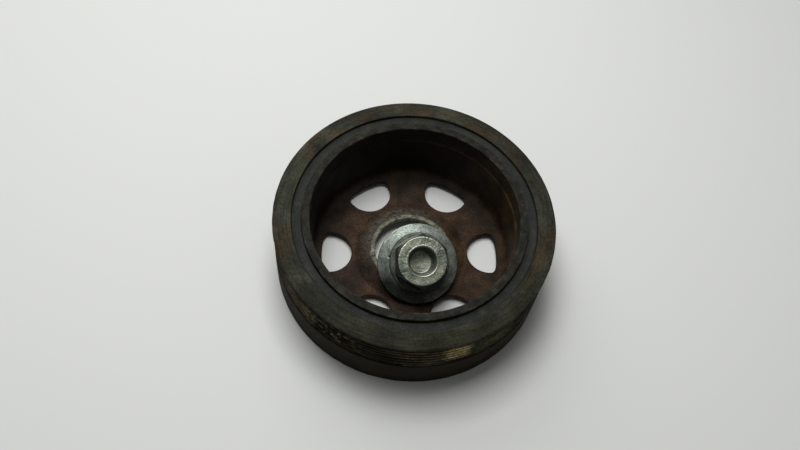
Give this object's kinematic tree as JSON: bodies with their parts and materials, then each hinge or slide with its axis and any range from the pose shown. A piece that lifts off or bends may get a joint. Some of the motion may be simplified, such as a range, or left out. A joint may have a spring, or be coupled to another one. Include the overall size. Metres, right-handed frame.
{
  "type": "crankshaft belt pulley",
  "caption": "Grooved crankshaft belt pulley with a rubber-bonded damper ring, a deep pressed cup with windows in its web, and a loose flanged centre bolt leaning in the hub.",
  "frame": {"origin": "centre of the ring's back face, on the pulley's axis, on the surface it lies on", "axes": "+Z along the pulley's axis, out of the open side of the cup; +X to the right in the picture, -Y towards its viewer"},
  "size_m": [0.155, 0.155, 0.049],
  "materials": {
    "worn_iron": "dull, dirty and rust-stained, turned",
    "rubber": "matt, dusty",
    "rusty_steel": "thin even rust on pressed steel",
    "washer_steel": "satin, phosphated, stained",
    "bolt_steel": "satin, forged, stained"
  },
  "bodies": {
    "hub": {"hub_cup": "rusty_steel", "damper_rubber": "rubber"},
    "belt_ring": {"grooved_ring": "worn_iron"},
    "washer": {"bolt_washer": "washer_steel"},
    "bolt": {"crank_bolt": "bolt_steel"}
  },
  "joints": [
    {"name": "ring_twist", "type": "hinge", "parent": "hub", "child": "belt_ring", "pos_m": [0, 0, 0.0241], "axis": [0, 0, 1], "range_deg": [-2, 2], "stiffness_Nm_per_rad": 15000},
    {"name": "bolt_draw", "type": "slide", "parent": "hub", "child": "washer", "axis": [0.1117, -0.3845, 0.9164], "range_m": [0, 0.06]},
    {"name": "bolt_spin", "type": "hinge", "parent": "washer", "child": "bolt", "pos_m": [0.00477, -0.01201, 0.01565], "axis": [0.1117, -0.3845, 0.9164], "continuous": true}
  ]
}
